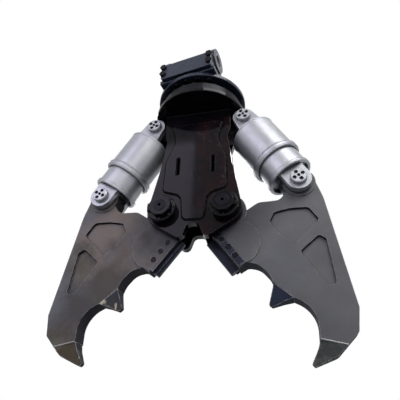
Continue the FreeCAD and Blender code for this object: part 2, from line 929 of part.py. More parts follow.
def blade_bolts():
    """through bolts of the blade, with head and nut sunk in the jaw"""
    floor = pad_half - blade_sink_depth
    bolts = []
    for along in blade_bolt_along:
        x, z = blade_point(along, blade_bolt_offset)
        shank = round_y((x, z), blade_bolt_r, -floor, floor)
        block = hex_head(blade_head_r, blade_head_height)
        head = facing(block, V(x, floor, z), V(0, 1, 0))
        nut = facing(block, V(x, -floor, z), V(0, -1, 0))
        bolts.append(shank.fuse([head, nut]))
    return bolts


def pointed(shape, base, tip, base_half, tip_half):
    """thin a tooth from its base to its tip"""
    ahead = V(tip[0] - base[0], 0, tip[1] - base[1])
    length = ahead.Length
    ahead.normalize()
    across = V(ahead.z, 0, -ahead.x)
    start = V(base[0], 0, base[1])
    slope = (base_half - tip_half) / length
    points = []
    for along, side in ((-length, 1), (1.2 * length, 1), (1.2 * length, -1), (-length, -1)):
        half = base_half - slope * along
        points.append(start + ahead * along + V(0, side * half, 0) - across * reach)
    wedge = Part.Face(Part.makePolygon(points + [points[0]])).extrude(across * 2 * reach)
    return shape.common(wedge)


def tip_tooth():
    """welded hard tip of the jaw"""
    corners = [
        seam_outer,
        (648, -735, 60),
        (tip_point[0] + 6, tip_point[1] - 4, 8),
        (tip_point[0] - 6, tip_point[1] + 10, 6),
        (567, -705, 80),
        seam_inner,
    ]
    middle = ((seam_outer[0] + seam_inner[0]) / 2, (seam_outer[1] + seam_inner[1]) / 2)
    return pointed(plate(corners, -jaw_half, jaw_half), middle, tip_point, jaw_half, tip_half)


def centre_tooth():
    """hard tooth between the tip and the blade"""
    corners = [
        tooth_root_low,
        (440, -497, 90),
        (tooth_point[0] + 8, tooth_point[1] - 7, 6),
        (tooth_point[0] - 8, tooth_point[1] + 7, 6),
        (391, -430, 90),
        tooth_root_high,
    ]
    middle = ((tooth_root_low[0] + tooth_root_high[0]) / 2,
              (tooth_root_low[1] + tooth_root_high[1]) / 2)
    return pointed(plate(corners, -jaw_half, jaw_half), middle, tooth_point, jaw_half, tooth_half)


def main_bush():
    """bush pressed in the jaw hub"""
    bush = round_y(jaw_pivot, main_pin_r + main_bush_wall, -pad_half, pad_half)
    return bush.cut(round_y(jaw_pivot, main_pin_r + running_gap, -reach, reach))


def lug_bush():
    """wide bush in the jaw lug, where the linkage is opened"""
    bush = round_y(lug_pivot, lug_bush_r, -pad_half, pad_half)
    return bush.cut(round_y(lug_pivot, link_pin_r + link_pin_play, -reach, reach))


# Cylinder, made hanging down from the origin and then put in place

def in_place(shape):
    """hang a piece of the right-hand cylinder on its upper pin"""
    placed = shape.copy()
    placed.rotate(V(0, 0, 0), V(0, 1, 0), -cylinder_tilt)
    placed.translate(V(cylinder_pivot[0], 0, cylinder_pivot[1]))
    return placed


def cylinder_base():
    """upper clevis with its two ears on the round closing plate"""
    body = turned([
        (0, -base_start),
        (base_r - base_chamfer, -base_start),
        (base_r, -base_start - base_chamfer / 2),
        (base_r, -base_end),
        (0, -base_end),
    ])
    foot = base_start + base_chamfer / 4
    neck = [
        (-clevis_r, 0),
        (clevis_r, 0),
        (clevis_r + 8, -foot),
        (-clevis_r - 8, -foot),
    ]
    ear = plate(neck, -fork_outer_y, -fork_inner_y)
    ear = ear.fuse(round_y((0, 0), clevis_r, -fork_outer_y, -fork_inner_y))
    for shape in front_and_rear(ear):
        body = body.fuse(shape)
    return body.cut(round_y((0, 0), link_pin_r + running_gap, -reach, reach)).removeSplitter()


def cylinder_tube():
    """pressure tube inside the shroud"""
    return turned([
        (tube_r - tube_wall, -base_end),
        (tube_r, -base_end),
        (tube_r, -tube_end),
        (tube_r - tube_wall, -tube_end),
    ])


def cylinder_shroud():
    """outer shroud with its end collar"""
    step = shroud_end - shroud_collar_length
    collar = shroud_r + collar_step
    return turned([
        (shroud_bore_r, -base_end),
        (shroud_r, -base_end),
        (shroud_r, -step),
        (collar, -step - 5),
        (collar, -shroud_end + 4),
        (collar - 4, -shroud_end),
        (shroud_bore_r, -shroud_end),
    ])


def cylinder_gland():
    """gland that guides the rod"""
    inner = rod_r + running_gap
    bore = tube_r - tube_wall
    return turned([
        (inner, -tube_end + gland_length),
        (bore, -tube_end + gland_length),
        (bore, -tube_end),
        (tube_r - gland_step, -tube_end),
        (tube_r - gland_step, -tube_end - gland_flange),
        (inner, -tube_end - gland_flange),
    ])


def piston_rod():
    """rod and piston in one"""
    bore = tube_r - tube_wall - running_gap
    top = base_end + piston_gap
    return turned([
        (0, -top),
        (bore, -top),
        (bore, -top - piston_length),
        (rod_r, -top - piston_length),
        (rod_r, -fork_start),
        (0, -fork_start),
    ])


def rod_guard():
    """telescoping guard that travels with the rod"""
    step = guard_end - guard_ring_length
    ring = guard_r + guard_ring_step
    return turned([
        (guard_bore_r, -guard_start),
        (guard_r, -guard_start),
        (guard_r, -step),
        (ring, -step - 4),
        (ring, -guard_end + 3),
        (ring - 3, -guard_end),
        (guard_bore_r, -guard_end),
    ])


def rod_fork():
    """fork that straddles the jaw lug"""
    pivot = (0, -link_length)
    body = round_z(0, 0, guard_bore_r, -fork_base_end, -fork_start)
    corners = [
        (-fork_ear_r, -link_length),
        (fork_ear_r, -link_length),
        (fork_ear_r, -fork_base_end + web_thickness / 2),
        (-fork_ear_r, -fork_base_end + web_thickness / 2),
    ]
    ear = plate(corners, -fork_outer_y, -fork_inner_y)
    ear = ear.fuse(round_y(pivot, fork_ear_r, -fork_outer_y, -fork_inner_y))
    for shape in front_and_rear(ear):
        body = body.fuse(shape)
    return body.cut(round_y(pivot, link_pin_r, -reach, reach)).removeSplitter()


def pin_cap(outer_y):
    """front cap of a cylinder pin at the origin, with bolt and grease holes"""
    low = -outer_y - cap_height
    cap = round_y((0, 0), cap_r, low, -outer_y)
    rim = [e for e in cap.Edges if abs(e.BoundBox.YMin - low) < 0.01
           and abs(e.BoundBox.YMax - low) < 0.01]
    cap = cap.makeChamfer(cap_edge, rim)
    cap = cap.cut(round_y((0, 0), grease_hole_r, low - 1, low + cap_bolt_depth))
    for x, z in cap_bolt_places():
        cap = cap.cut(round_y((x, z), cap_bolt_r + 1.5, low - 1, low + cap_bolt_depth))
    return cap


def cap_bolt_places():
    """cross of four screws on a cap"""
    return [(cap_bolt_ring * math.cos(math.radians(90 * i)),
             cap_bolt_ring * math.sin(math.radians(90 * i))) for i in range(4)]


def cap_screws(outer_y):
    """the four screws sunk in a cap"""
    floor = -outer_y - cap_height + cap_bolt_depth
    return [round_y((x, z), cap_bolt_r, floor - 8, floor) for x, z in cap_bolt_places()]


def upper_pin():
    """upper pin of a cylinder, held in the frame lug"""
    return round_y((0, 0), link_pin_r, -upper_cap_y, upper_cap_y)


def lower_pin():
    """lower pin of a cylinder with its two caps, held in the rod fork"""
    pin = round_y((0, -link_length), link_pin_r, -fork_outer_y, fork_outer_y)
    for cap in front_and_rear(pin_cap(fork_outer_y)):
        cap.translate(V(0, 0, -link_length))
        pin = pin.fuse(cap)
    return pin.removeSplitter()


def at_upper_pin(shapes):
    """front and rear copies of the pieces on both upper pins"""
    placed = []
    for shape in shapes:
        for piece in front_and_rear(shape):
            placed += pair(in_place(piece))
    return placed


# Export

def to_part_frame(shape, on_bracket):
    """turn the bracket pieces and move the origin to the stick pin bore"""
    moved = shape.copy()
    turn = math.radians(slew_at_rest)
    if on_bracket:
        moved.rotate(V(0, 0, 0), V(0, 0, 1), slew_at_rest)
    bore = V(-stick_pin_y * math.sin(turn), stick_pin_y * math.cos(turn), pin_bore_z)
    moved.translate(bore * -1)
    return moved


def export(name, shapes, on_bracket=False):
    """write one node, as one solid or as several equal solids"""
    if not isinstance(shapes, list):
        shapes = [shapes]
    placed = [to_part_frame(shape, on_bracket) for shape in shapes]
    body = placed[0] if len(placed) == 1 else Part.makeCompound(placed)
    body.exportStep("parts/" + name + ".step")


def export_sides(name, shape):
    """write a right-hand node and its half-turned left-hand twin"""
    shapes = shape if isinstance(shape, list) else [shape]
    export("right_" + name, shapes)
    export("left_" + name, [half_turn(piece) for piece in shapes])


def export_bracket():
    ear = bracket_ear()
    export("bracket_right_ear", ear, True)
    export("bracket_left_ear", ear.mirror(V(0, 0, 0), V(1, 0, 0)), True)
    export("bracket_bushes", ear_bushes(), True)
    export("bracket_base_plate", bracket_base(), True)
    export("bracket_front_plate", bracket_front_plate(), True)
    export("front_plate_bolts", front_plate_bolts(), True)
    export("bracket_rear_bar", bracket_rear_bar(), True)
    export("bracket_cross_tube", bracket_cross_tube(), True)
    export("slew_disc", slew_disc(), True)
    export("base_plate_bolts", base_bolts(), True)
    export("slew_adapter_drum", slew_adapter(), True)
    export("slew_inner_ring", slew_inner_ring(), True)
    export("inner_ring_screws", inner_ring_screws(), True)
    export("swivel_core", swivel_core(), True)


def export_frame():
    front = frame_plate()
    export("frame_front_plate", front)
    export("frame_rear_plate", front.mirror(V(0, 0, 0), V(0, 1, 0)))
    export("frame_doublers", front_and_rear(frame_doubler()))
    export("frame_side_webs", pair(side_web()))
    export("frame_cross_webs", [lower_web(), middle_web()])
    export("frame_cylinder_lugs", pair(cylinder_lug()))
    export("frame_top_flange", frame_flange())
    export("slew_outer_ring", slew_outer_ring())
    export("outer_ring_bolts", outer_ring_bolts())
    export("slew_motor", slew_motor())
    export("swivel_housing", swivel_housing())
    export("slew_pinion", slew_pinion())
    export("main_pins", pair(main_pin()))
    export("main_pin_collars", four(main_collar()))
    export("main_pin_nuts", four(main_nut()))
    export("nut_lock_plates", four(lock_plate()))
    small = []
    for piece in collar_bolts():
        small += four(piece)
    export("collar_bolts", small)
    export("upper_cylinder_pins", pair(in_place(upper_pin())))
    export("upper_pin_caps", at_upper_pin([pin_cap(upper_cap_y)]))
    export("upper_cap_screws", at_upper_pin(cap_screws(upper_cap_y)))


def export_jaws_and_cylinders():
    export_sides("jaw_plate", jaw_plate())
    export_sides("jaw_bushes", [main_bush(), lug_bush()])
    export_sides("shear_blade", blade())
    export_sides("blade_bolts", blade_bolts())
    export_sides("jaw_teeth", [tip_tooth(), centre_tooth()])
    export_sides("cylinder_base", in_place(cylinder_base()))
    export_sides("cylinder_tube", in_place(cylinder_tube()))
    export_sides("cylinder_shroud", in_place(cylinder_shroud()))
    export_sides("cylinder_gland", in_place(cylinder_gland()))
    export_sides("piston_rod", in_place(piston_rod()))
    export_sides("rod_guard", in_place(rod_guard()))
    export_sides("rod_fork", in_place(rod_fork()))
    export_sides("lower_pin", in_place(lower_pin()))


os.makedirs("parts", exist_ok=True)
export_bracket()
export_frame()
export_jaws_and_cylinders()
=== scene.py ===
import json
import math
import random
from collections import namedtuple

import bmesh
import bpy
from mathutils import Matrix, Vector

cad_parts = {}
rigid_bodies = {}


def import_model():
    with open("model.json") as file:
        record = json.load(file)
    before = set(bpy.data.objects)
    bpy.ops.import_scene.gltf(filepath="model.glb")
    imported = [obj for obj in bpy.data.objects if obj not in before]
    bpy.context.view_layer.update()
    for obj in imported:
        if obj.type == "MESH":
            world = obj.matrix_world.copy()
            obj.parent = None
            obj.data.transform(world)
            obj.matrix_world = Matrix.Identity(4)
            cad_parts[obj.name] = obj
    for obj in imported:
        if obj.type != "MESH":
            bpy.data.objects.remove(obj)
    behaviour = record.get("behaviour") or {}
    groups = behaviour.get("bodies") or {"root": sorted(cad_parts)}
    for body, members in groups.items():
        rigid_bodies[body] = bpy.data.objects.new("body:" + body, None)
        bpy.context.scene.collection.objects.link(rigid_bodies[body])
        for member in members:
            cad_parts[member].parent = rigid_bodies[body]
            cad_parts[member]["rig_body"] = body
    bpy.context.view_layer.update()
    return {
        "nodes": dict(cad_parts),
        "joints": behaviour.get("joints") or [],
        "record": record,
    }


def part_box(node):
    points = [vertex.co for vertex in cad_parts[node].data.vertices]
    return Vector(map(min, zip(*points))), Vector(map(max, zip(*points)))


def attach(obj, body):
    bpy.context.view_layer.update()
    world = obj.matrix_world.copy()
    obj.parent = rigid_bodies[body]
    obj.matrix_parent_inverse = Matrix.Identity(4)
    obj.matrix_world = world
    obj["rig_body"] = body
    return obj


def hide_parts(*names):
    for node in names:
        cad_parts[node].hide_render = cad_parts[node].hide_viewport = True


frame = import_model()
nodes = frame["nodes"]
SLOTS = {row["node"]: row["material_slot"] for row in frame["record"]["subparts"]}
JOINTS = {row["name"]: row for row in frame["joints"]}
RANDOM = random.Random(7)


# places, from the frame, whose origin is the stick pin bore and whose unit is the metre

def joint_place(name):
    return Vector(JOINTS[name]["pos_m"])


def half_depth(node):
    """half of a CAD node's size from front to rear, in millimetres"""
    low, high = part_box(node)
    return (high.y - low.y) * 1000 / 2


# SLEW is the point of the slewing axis that lies midway between the two jaw pivots. The CAD
# source counts its millimetres from there, and so does body_point. PIVOT_MIDDLE is the same
# point as the joints give it, rounded as they are, to measure their places from.
SLEW = sum(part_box("main_pins"), Vector()) / 2
PIVOT_MIDDLE = (joint_place("left_jaw_fold") + joint_place("right_jaw_fold")) / 2
HUB_X = joint_place("right_jaw_fold").x - PIVOT_MIDDLE.x
JAW_HALF = half_depth("right_jaw_teeth")
PAD_HALF = half_depth("right_jaw_plate")
TIP_TOP = -1.60           # at rest the welded tips lie below it and the centre teeth above


def body_point(x, y, z):
    """a point given from the middle of the two jaw pivots, in millimetres"""
    return Vector((x, y, z)) / 1000 + SLEW


# shader nodes

def new_material(name):
    material = bpy.data.materials.new(name)
    material.use_nodes = True
    tree = material.node_tree
    return material, tree, tree.nodes["Principled BSDF"]


def link(tree, source, socket):
    tree.links.new(source, socket)


def coordinates(tree, kind):
    return tree.nodes.new("ShaderNodeTexCoord").outputs[kind]


def axis_of(tree, vector, axis):
    """one of the three parts of a vector"""
    split = tree.nodes.new("ShaderNodeSeparateXYZ")
    link(tree, vector, split.inputs[0])
    return split.outputs[axis]


def calculate(tree, operation, *values):
    """the result of a Math node for numbers or sockets"""
    node = tree.nodes.new("ShaderNodeMath")
    node.operation = operation
    for socket, value in zip(node.inputs, values):
        if isinstance(value, float):
            socket.default_value = value
        else:
            link(tree, value, socket)
    return node.outputs[0]


def multiply(tree, first, second):
    return calculate(tree, "MULTIPLY", first, second)


def noise(tree, coords, scale, detail, roughness, stretch=None):
    node = tree.nodes.new("ShaderNodeTexNoise")
    node.inputs["Scale"].default_value = scale
    node.inputs["Detail"].default_value = detail
    node.inputs["Roughness"].default_value = roughness
    if stretch:
        mapping = tree.nodes.new("ShaderNodeMapping")
        mapping.inputs["Scale"].default_value = stretch
        link(tree, coords, mapping.inputs["Vector"])
        coords = mapping.outputs["Vector"]
    link(tree, coords, node.inputs["Vector"])
    return node.outputs["Fac"]


def ramp(tree, value, low, high, from_value=0.0, to_value=1.0):
    """a value mapped from low and high to from_value and to_value, and flat beyond them"""
    node = tree.nodes.new("ShaderNodeMapRange")
    node.inputs["From Min"].default_value = low
    node.inputs["From Max"].default_value = high
    node.inputs["To Min"].default_value = from_value
    node.inputs["To Max"].default_value = to_value
    link(tree, value, node.inputs["Value"])
    return node.outputs["Result"]


def mix_colour(tree, factor, first, second):
    node = tree.nodes.new("ShaderNodeMix")
    node.data_type = "RGBA"
    link(tree, factor, node.inputs[0])
    for index, colour in ((6, first), (7, second)):
        if isinstance(colour, tuple):
            node.inputs[index].default_value = (*colour, 1.0)
        else:
            link(tree, colour, node.inputs[index])
    return node.outputs[2]


# masks, from 0 to 1

LEFT, RIGHT, TIP = "left", "right", "tip"


def one_side(tree, coords, side):
    """one on the right half of the part, or on its left half"""
    sign = 1 if side == RIGHT else -1
    start, full = -0.01, 0.03
    return ramp(tree, axis_of(tree, coords, "X"), SLEW.x + sign * start, SLEW.x + sign * full)


def tip_only(tree, coords):
    """one on the lowest part of a jaw in its rest place, where its tip is"""
    return ramp(tree, axis_of(tree, coords, "Z"), TIP_TOP, TIP_TOP - 0.01)


# the mask of the painted shade on the cut edges
def cut_edges(tree):
    """one on the cut edges of a plate that lies across the Y axis of its body"""
    lean = axis_of(tree, coordinates(tree, "Normal"), "Y")
    return ramp(tree, calculate(tree, "ABSOLUTE", lean), 0.6, 0.25)


# the mask of the painted shade around the two jaw hubs
def shade_near_hubs(tree, coords, patches):
    """bright around the two jaw hubs, fading out with a ragged border"""
    ragged, far, near = 0.06, 0.120, 0.055    # square metres
    sideways = calculate(tree, "SUBTRACT", axis_of(tree, coords, "X"), SLEW.x)
    sideways = calculate(tree, "SUBTRACT", calculate(tree, "ABSOLUTE", sideways), HUB_X)
    upwards = calculate(tree, "SUBTRACT", axis_of(tree, coords, "Z"), SLEW.z)
    distance = calculate(tree, "ADD", multiply(tree, sideways, sideways),
                         multiply(tree, upwards, upwards))
    return ramp(tree, calculate(tree, "MULTIPLY_ADD", patches, ragged, distance), far, near)


def worn_edges(tree, radius):
    """bright along the convex edges, from how far a bevelled normal leans"""
    bevel = tree.nodes.new("ShaderNodeBevel")
    bevel.samples = 4
    bevel.inputs["Radius"].default_value = radius
    geometry = tree.nodes.new("ShaderNodeNewGeometry")
    dot = tree.nodes.new("ShaderNodeVectorMath")
    dot.operation = "DOT_PRODUCT"
    link(tree, bevel.outputs["Normal"], dot.inputs[0])
    link(tree, geometry.outputs["Normal"], dot.inputs[1])
    return ramp(tree, dot.outputs["Value"], 1.0, 0.88)


# the mask of the painted shade in corners, gaps and wide hollows
def crevices(tree, distance, start):
    """bright in corners and gaps, where much is blocked within a distance"""
    hollow = tree.nodes.new("ShaderNodeAmbientOcclusion")
    hollow.samples = 4
    hollow.inputs["Distance"].default_value = distance
    return ramp(tree, hollow.outputs["AO"], start, start - 0.5)


# finishes

# A stain shows where its noise passes from low to high, on the side of the part or on the
# tips that where names. A stretched one is a scratch.
Stain = namedtuple("Stain", "tint scale low high share where stretch", defaults=(None, None))
# the colours of the painted shade in corners, on cut edges, around the jaw hubs and in wide hollows
CORNER_SHADE_TINT = (0.008, 0.0075, 0.008)
CUT_EDGE_SHADE_TINT = (0.017, 0.018, 0.025)
HUB_SHADE_TINT = (0.030, 0.031, 0.038)
WIDE_SHADE_TINT = (0.016, 0.017, 0.022)


def stain_mask(tree, coords, stain):
    detail, roughness = (2.0, 0.5) if stain.stretch else (7.0, 0.62)
    spots = noise(tree, coords, stain.scale, detail, roughness, stain.stretch)
    amount = multiply(tree, ramp(tree, spots, stain.low, stain.high), stain.share)
    if stain.where == TIP:
        return multiply(tree, amount, tip_only(tree, coords))
    if stain.where:
        return multiply(tree, amount, one_side(tree, coords, stain.where))
    return amount


def finish(name, colour, second, metallic, rough, *, bump, patch, fine, gloss=0.5,
           wear=None, wear_width=0.0, dust=None, dust_share=0.0, stains=(),
           corner_shade=0.7, cut=0.0, hub_shade=0.0, wide_shade=0.0):
    """a coated or bare metal with patches, fine grain, dust, stains and worn edges

    patch and fine are the scales of the patches and of the grain. corner_shade, cut, hub_shade
    and wide_shade are the shares of painted shade in corners, on cut edges, around the jaw hubs
    and in wide hollows.
    """
    material, tree, shader = new_material(name)
    coords = coordinates(tree, "Object")
    patches = noise(tree, coords, patch, 5.0, 0.6)
    base = mix_colour(tree, ramp(tree, patches, 0.35, 0.65), colour, second)
    roughness = ramp(tree, noise(tree, coords, patch * 3.1, 7.0, 0.65), 0.3, 0.7, *rough)
    if dust:
        spots = noise(tree, coords, patch * 2.3, 8.0, 0.7)
        amount = multiply(tree, ramp(tree, spots, 0.5, 0.72), dust_share)
        base = mix_colour(tree, amount, base, dust)
    for stain in stains:
        base = mix_colour(tree, stain_mask(tree, coords, stain), base, stain.tint)
    # painted shade: darker in corners and gaps, from an occlusion node
    corners = multiply(tree, crevices(tree, distance=0.022, start=0.75), corner_shade)
    base = mix_colour(tree, corners, base, CORNER_SHADE_TINT)
    # painted shade on the cut edges, which are also made rougher
    if cut:
        edges = multiply(tree, cut_edges(tree), cut)
        base = mix_colour(tree, edges, base, CUT_EDGE_SHADE_TINT)
        roughness = calculate(tree, "MAXIMUM", roughness, edges)
    # painted shade around the jaw hubs
    if hub_shade:
        dark = multiply(tree, shade_near_hubs(tree, coords, patches), hub_shade)
        base = mix_colour(tree, dark, base, HUB_SHADE_TINT)
    # painted shade in wide hollows, such as under the forks
    if wide_shade:
        hollows = multiply(tree, crevices(tree, distance=0.16, start=0.74), wide_shade)
        base = mix_colour(tree, hollows, base, WIDE_SHADE_TINT)
    if wear:
        rub = ramp(tree, noise(tree, coords, 38.0, 6.0, 0.7), 0.40, 0.54)
        base = mix_colour(tree, multiply(tree, worn_edges(tree, wear_width), rub), base, wear)
    link(tree, base, shader.inputs["Base Color"])
    link(tree, roughness, shader.inputs["Roughness"])
    shader.inputs["Metallic"].default_value = metallic
    shader.inputs["Specular IOR Level"].default_value = gloss
    bumps = tree.nodes.new("ShaderNodeBump")
    bumps.inputs["Strength"].default_value = bump
    bumps.inputs["Distance"].default_value = 0.0006
    link(tree, noise(tree, coords, fine, 3.0, 0.5), bumps.inputs["Height"])
    link(tree, bumps.outputs["Normal"], shader.inputs["Normal"])
    return material


FRAME_LOOK = {"bump": 0.04, "patch": 5.0, "fine": 160.0, "gloss": 0.09,
              "wear": (0.08, 0.08, 0.09), "wear_width": 0.003,
              "dust": (0.030, 0.027, 0.029), "dust_share": 0.15}
FRAME_COLOURS = (0.0035, 0.0028, 0.0042), (0.006, 0.0045, 0.0065)
MATERIALS = {
    "frame_paint": finish(
        "frame_paint", *FRAME_COLOURS, 0.0, (0.05, 0.13), **FRAME_LOOK),
    "jaw_paint": finish(
        "jaw_paint", (0.084, 0.085, 0.093), (0.108, 0.109, 0.118), 0.10, (0.38, 0.58),
        bump=0.35, patch=4.0, fine=260.0, gloss=0.16,
        wear=(0.30, 0.30, 0.31), wear_width=0.004, dust=(0.115, 0.109, 0.103), dust_share=0.25,
        stains=[Stain((0.135, 0.106, 0.088), 3.1, 0.43, 0.60, 0.80, LEFT),
                Stain((0.030, 0.026, 0.023), 2.3, 0.50, 0.64, 0.75, LEFT),
                Stain((0.075, 0.085, 0.040), 6.0, 0.56, 0.68, 0.45, LEFT),
                Stain((0.092, 0.083, 0.069), 3.0, 0.46, 0.66, 0.45, RIGHT)],
        # painted shade on the cut edges, around the jaw hubs and in wide hollows
        cut=0.85, hub_shade=0.6, wide_shade=0.55),
    "silver_paint": finish(
        "silver_paint", (0.285, 0.293, 0.315), (0.325, 0.332, 0.350), 0.55, (0.34, 0.48),
        bump=0.12, patch=7.0, fine=300.0, gloss=0.3,
        wear=(0.50, 0.50, 0.51), wear_width=0.003, dust=(0.24, 0.235, 0.23), dust_share=0.18),
    # dark paint with a blue tint; the blue tint is a painted reflection of the sky
    "bracket_paint": finish(
        "bracket_paint", (0.012, 0.018, 0.033), (0.017, 0.024, 0.042), 0.0, (0.20, 0.38),
        bump=0.12, patch=6.0, fine=180.0, gloss=0.25,
        wear=(0.13, 0.13, 0.14), wear_width=0.003, dust=(0.060, 0.062, 0.070), dust_share=0.20),
    "tool_steel": finish(
        "tool_steel", (0.030, 0.032, 0.042), (0.044, 0.045, 0.054), 0.35, (0.32, 0.52),
        bump=0.30, patch=9.0, fine=240.0, gloss=0.14,
        wear=(0.46, 0.45, 0.42), wear_width=0.006, dust=(0.055, 0.040, 0.028), dust_share=0.35,
        stains=[Stain((0.068, 0.054, 0.034), 7.0, 0.42, 0.58, 0.8, LEFT),
                Stain((0.46, 0.42, 0.33), 34.0, 0.61, 0.66, 0.8, LEFT, (1.0, 1.0, 0.16))],
        cut=0.85),
    "bare_steel": finish(
        "bare_steel", (0.16, 0.16, 0.17), (0.23, 0.23, 0.24), 0.9, (0.28, 0.46),
        bump=0.15, patch=12.0, fine=320.0, wear=(0.40, 0.40, 0.40), wear_width=0.002),
    "chrome_rod": finish(
        "chrome_rod", (0.70, 0.71, 0.73), (0.76, 0.77, 0.78), 1.0, (0.08, 0.14),
        bump=0.03, patch=8.0, fine=400.0, corner_shade=0.2),
    "bush_bronze": finish(
        "bush_bronze", (0.42, 0.26, 0.10), (0.50, 0.32, 0.14), 0.9, (0.30, 0.45),
        bump=0.10, patch=14.0, fine=300.0),
    "cast_black": finish(
        "cast_black", (0.018, 0.018, 0.020), (0.030, 0.030, 0.032), 0.0, (0.45, 0.65),
        bump=0.60, patch=9.0, fine=120.0, gloss=0.2),
}

# finishes of single pieces that differ from the rest of their slot
OILED = finish(
    "oiled_steel", (0.006, 0.006, 0.009), (0.010, 0.010, 0.014), 0.2, (0.20, 0.36),
    bump=0.25, patch=12.0, fine=260.0, gloss=0.06, wear=(0.10, 0.10, 0.11), wear_width=0.002)
# dark beads: the welds around the doublers and under the frame's flange, and the painted shade under
# the upper walls of the jaw pockets
DARK_BEAD = finish(
    "dark_bead", (0.003, 0.003, 0.004), (0.006, 0.005, 0.007), 0.0, (0.45, 0.60),
    bump=0.40, patch=20.0, fine=300.0, gloss=0.06)
# the frame's paint with reddish patches and small pinkish blotches on its right half; the small
# blotches are painted reflections of the surroundings
RIGHT_BLOTCHED_PAINT = finish(
    "right_blotched_paint", *FRAME_COLOURS, 0.0, (0.05, 0.12), **FRAME_LOOK,
    stains=[Stain((0.016, 0.006, 0.007), 7.0, 0.44, 0.60, 0.8, RIGHT),
            Stain((0.055, 0.030, 0.032), 24.0, 0.60, 0.70, 0.6, RIGHT)])
BLUE_STEEL = finish(
    "blued_steel", (0.011, 0.013, 0.024), (0.017, 0.019, 0.031), 0.2, (0.30, 0.48),
    bump=0.30, patch=9.0, fine=240.0, gloss=0.10, wear=(0.22, 0.22, 0.24), wear_width=0.004)
NAVY_STEEL = finish(
    "navy_steel", (0.012, 0.017, 0.034), (0.020, 0.025, 0.044), 0.3, (0.32, 0.52),
    bump=0.30, patch=9.0, fine=240.0, gloss=0.12,
    wear=(0.46, 0.45, 0.42), wear_width=0.006, dust=(0.045, 0.042, 0.040), dust_share=0.35,
    stains=[Stain((0.047, 0.051, 0.048), 5.0, 0.10, 0.20, 0.9, TIP),
            Stain((0.095, 0.097, 0.085), 30.0, 0.50, 0.64, 0.6, TIP)],
    cut=0.85)
# light-coloured beads, to give the bright line along the seam of each tip
BRIGHT_WELD = finish(
    "light_seam_weld", (0.20, 0.20, 0.20), (0.30, 0.29, 0.28), 0.5, (0.35, 0.50),
    bump=0.40, patch=30.0, fine=300.0, corner_shade=0.2)
SPECIAL = {"main_pins": OILED, "left_blade_bolts": OILED, "right_blade_bolts": OILED,
           "upper_cap_screws": OILED, "slew_outer_ring": OILED,
           "frame_front_plate": RIGHT_BLOTCHED_PAINT, "frame_doublers": RIGHT_BLOTCHED_PAINT,
           "left_shear_blade": BLUE_STEEL, "right_shear_blade": BLUE_STEEL,
           "right_jaw_teeth": NAVY_STEEL}
for name, thing in nodes.items():
    thing.data.materials.clear()
    thing.data.materials.append(SPECIAL.get(name, MATERIALS[SLOTS[name]]))


# meshes

def body_of(node):
    return nodes[node]["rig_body"]


def add(name, made, slot, body, material=None, smooth=32):
    """a bmesh as a new piece in the scene, riding on a body, with its slot's material"""
    mesh = bpy.data.meshes.new(name)
    made.to_mesh(mesh)
    made.free()
    if smooth:
        for face in mesh.polygons:
            face.use_smooth = True
        mesh.set_sharp_from_angle(angle=math.radians(smooth))
    piece = bpy.data.objects.new(name, mesh)
    bpy.context.scene.collection.objects.link(piece)
    mesh.materials.append(material or MATERIALS[slot])
    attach(piece, body)
    return piece


def clean_mesh(node):
    """the CAD node as a bmesh with joined corners and whole flat faces"""
    made = bmesh.new()
    made.from_mesh(nodes[node].data)
    bmesh.ops.remove_doubles(made, verts=made.verts, dist=2e-5)
    bmesh.ops.dissolve_limit(made, angle_limit=math.radians(0.8), verts=made.verts,
                             edges=made.edges)
    return made


def soften(node, width):
    """put a copy of a CAD node with real rounded edges in its place"""
    piece = add(node + "_soft", clean_mesh(node), SLOTS[node], body_of(node),
                SPECIAL.get(node))
    bevel = piece.modifiers.new("edge", "BEVEL")
    bevel.width = width
    bevel.segments = 2
    bevel.limit_method = "ANGLE"
    bevel.angle_limit = math.radians(38)
    bevel.harden_normals = True
    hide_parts(node)


def chains(edges):
    """join edges into lines of points; a closed line repeats no point"""
    left = {}
    for a, b in edges:
        left.setdefault(a, []).append(b)
        left.setdefault(b, []).append(a)
    lines = []
    while left:
        start = next((k for k in sorted(left) if len(left[k]) == 1), min(left))
        line = [start]
        here = start
        while left.get(here):
            ahead = left[here].pop()
            left[ahead].remove(here)
            if not left[here]:
                del left[here]
            line.append(ahead)
            here = ahead
        left.pop(here, None)
        closed = len(line) > 2 and line[0] == line[-1]
        lines.append(([Vector(p) for p in (line[:-1] if closed else line)], closed))
    return lines


Y, Z = 1, 2


def rims(node, axis, value, keep_wall=None):
    """the sharp edges of a node in the plane where its axis has a value, as lines of points

    keep_wall says from the normal of the wall at an edge whether that edge counts.
    """
    tolerance, sharp = 0.0006, math.radians(30)
    made = clean_mesh(node)
    edges = []
    for edge in made.edges:
        if len(edge.link_faces) != 2 or edge.calc_face_angle(0) < sharp:
            continue
        if all(abs(v.co[axis] - value) < tolerance for v in edge.verts):
            wall = min((face.normal for face in edge.link_faces), key=lambda n: abs(n[axis]))
            if keep_wall is None or keep_wall(wall):
                edges.append([tuple(round(c, 6) for c in v.co) for v in edge.verts])
    made.free()
    return chains(edges)


def shortened(lines, stop):
    """the same closed lines, drawn in by stop at both ends along their longest straight edge"""
    result = []
    for points, closed in lines:
        edges = [b - a for a, b in zip(points, points[1:] + points[:1])]
        along = max(edges, key=lambda edge: edge.length).normalized()
        centre = sum(points, Vector()) / len(points)
        half = max(abs((point - centre).dot(along)) for point in points)
        result.append(([point - along * (point - centre).dot(along) * (stop / half)
                        for point in points], closed))
    return result


def resample(points, closed, step):
    """points along a line, a step apart"""
    ring = points + [points[0]] if closed else points
    spaced = [ring[0].copy()]
    left = step
    for a, b in zip(ring, ring[1:]):
        length = (b - a).length
        done = 0.0
        while length - done >= left:
            done += left
            spaced.append(a.lerp(b, done / length))
            left = step
        left -= length - done
    if closed and len(spaced) > 2 and (spaced[-1] - spaced[0]).length < step * 0.6:
        spaced.pop()
    return spaced


